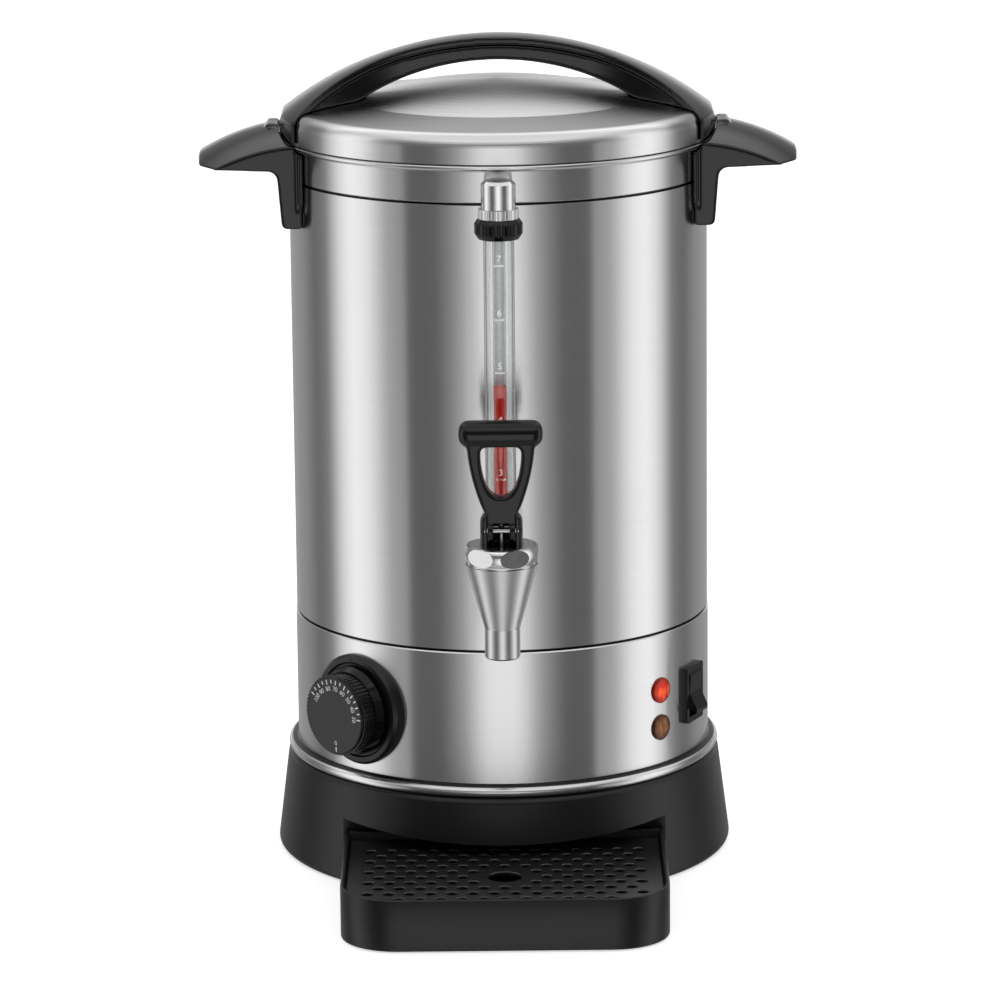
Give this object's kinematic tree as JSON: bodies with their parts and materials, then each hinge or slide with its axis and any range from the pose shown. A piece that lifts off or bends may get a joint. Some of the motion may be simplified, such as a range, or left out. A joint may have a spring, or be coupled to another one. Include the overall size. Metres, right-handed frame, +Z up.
{
  "type": "hot drink dispenser",
  "caption": "Heated round steel drink dispenser with a lift-off lid, self-closing lever tap, level gauge, thermostat knob, rocker switch, signal lamps and a drip tray.",
  "frame": {"origin": "on the container's axis at the table, in the plane of the base's lower rim", "axes": "+Z up, -Y to the front where the tap is, +X to the right seen from the front"},
  "size_m": [0.3212, 0.3375, 0.446],
  "materials": {
    "steel": "brushed stainless steel",
    "black_plastic": "satin black",
    "gloss_black": "smooth black",
    "chrome": "polished chrome",
    "satin_chrome": "satin chrome",
    "screw_steel": "plain steel",
    "clear": "clear tube",
    "rubber": "matt black",
    "silicone": "pale food-grade silicone",
    "aluminium": "plain",
    "copper": "copper colour",
    "insulator": "pale insulator",
    "red_lens": "translucent red",
    "amber_lens": "translucent amber"
  },
  "bodies": {
    "dispenser": {"base_skirt": "black_plastic", "base_plate": "black_plastic", "base_feet": "rubber", "base_screws": "screw_steel", "flared_ring": "steel", "lower_band": "steel", "outer_wall": "steel", "collar": "steel", "inner_tank": "steel", "heat_plate": "aluminium", "heater": "screw_steel", "thermal_cutout": "insulator", "side_handle_left": "black_plastic", "side_handle_right": "black_plastic", "handle_screws": "screw_steel", "tap_spout": "satin_chrome", "tap_shank": "satin_chrome", "shank_washer": "rubber", "shank_spacer": "silicone", "tank_washer": "silicone", "shank_nut": "screw_steel", "bonnet_nut": "chrome", "bonnet": "gloss_black", "lever_pin": "screw_steel", "valve_spring": "screw_steel", "gauge_holder": "gloss_black", "gauge_screw": "screw_steel", "gauge_shield": "clear", "gauge_glass": "clear", "knob_bezel": "black_plastic", "thermostat": "insulator", "thermostat_bulb": "copper", "lamp_lens_heating": "red_lens", "lamp_lens_warm": "amber_lens", "lamp_bodies": "insulator", "switch_frame": "gloss_black", "terminal_block": "insulator", "cable_gland": "black_plastic"},
    "lid": {"lid_shell": "steel", "lid_plug": "steel", "lid_seal": "silicone", "lid_handle": "black_plastic", "lid_handle_cover": "black_plastic", "lid_screws": "screw_steel"},
    "lever": {"tap_lever": "gloss_black"},
    "valve": {"valve_stem": "screw_steel", "seat_cup": "silicone"},
    "knob": {"knob": "gloss_black", "thermostat_shaft": "screw_steel"},
    "rocker": {"rocker": "gloss_black"},
    "tray": {"drip_tray": "black_plastic"},
    "grid": {"drip_grid": "black_plastic"},
    "gauge_cap": {"gauge_cap": "chrome", "gauge_seal": "silicone"}
  },
  "joints": [
    {"name": "lid_lift", "type": "slide", "parent": "dispenser", "child": "lid", "axis": [0, 0, 1], "range_m": [0, 0.12]},
    {"name": "lever_pull", "type": "hinge", "parent": "dispenser", "child": "lever", "pos_m": [0, -0.161, 0.2101], "axis": [1, 0, 0], "range_deg": [0, 40]},
    {"name": "valve_lift", "type": "slide", "parent": "dispenser", "child": "valve", "axis": [0, 0, 1], "range_m": [0, 0.0042], "stiffness_N_per_m": 400, "springref_m": -0.006, "deforming": ["valve_spring"]},
    {"name": "knob_turn", "type": "hinge", "parent": "dispenser", "child": "knob", "pos_m": [-0.08184, -0.08776, 0.095], "axis": [-0.682, -0.7314, 0], "range_deg": [0, 270]},
    {"name": "rocker_tip", "type": "hinge", "parent": "dispenser", "child": "rocker", "pos_m": [0.1001, -0.04774, 0.0935], "axis": [0.4305, 0.9026, 0], "range_deg": [0, 22]},
    {"name": "tray_slide", "type": "slide", "parent": "dispenser", "child": "tray", "axis": [0, -1, 0], "range_m": [0, 0.1]},
    {"name": "grid_lift", "type": "slide", "parent": "tray", "child": "grid", "axis": [0, 0, 1], "range_m": [0, 0.005]},
    {"name": "cap_lift", "type": "slide", "parent": "dispenser", "child": "gauge_cap", "axis": [0, 0, 1], "range_m": [0, 0.016]}
  ],
  "couplings": [
    {"joint": "lever_pull", "follows": "valve_lift", "rad_per_m": 166.2}
  ]
}
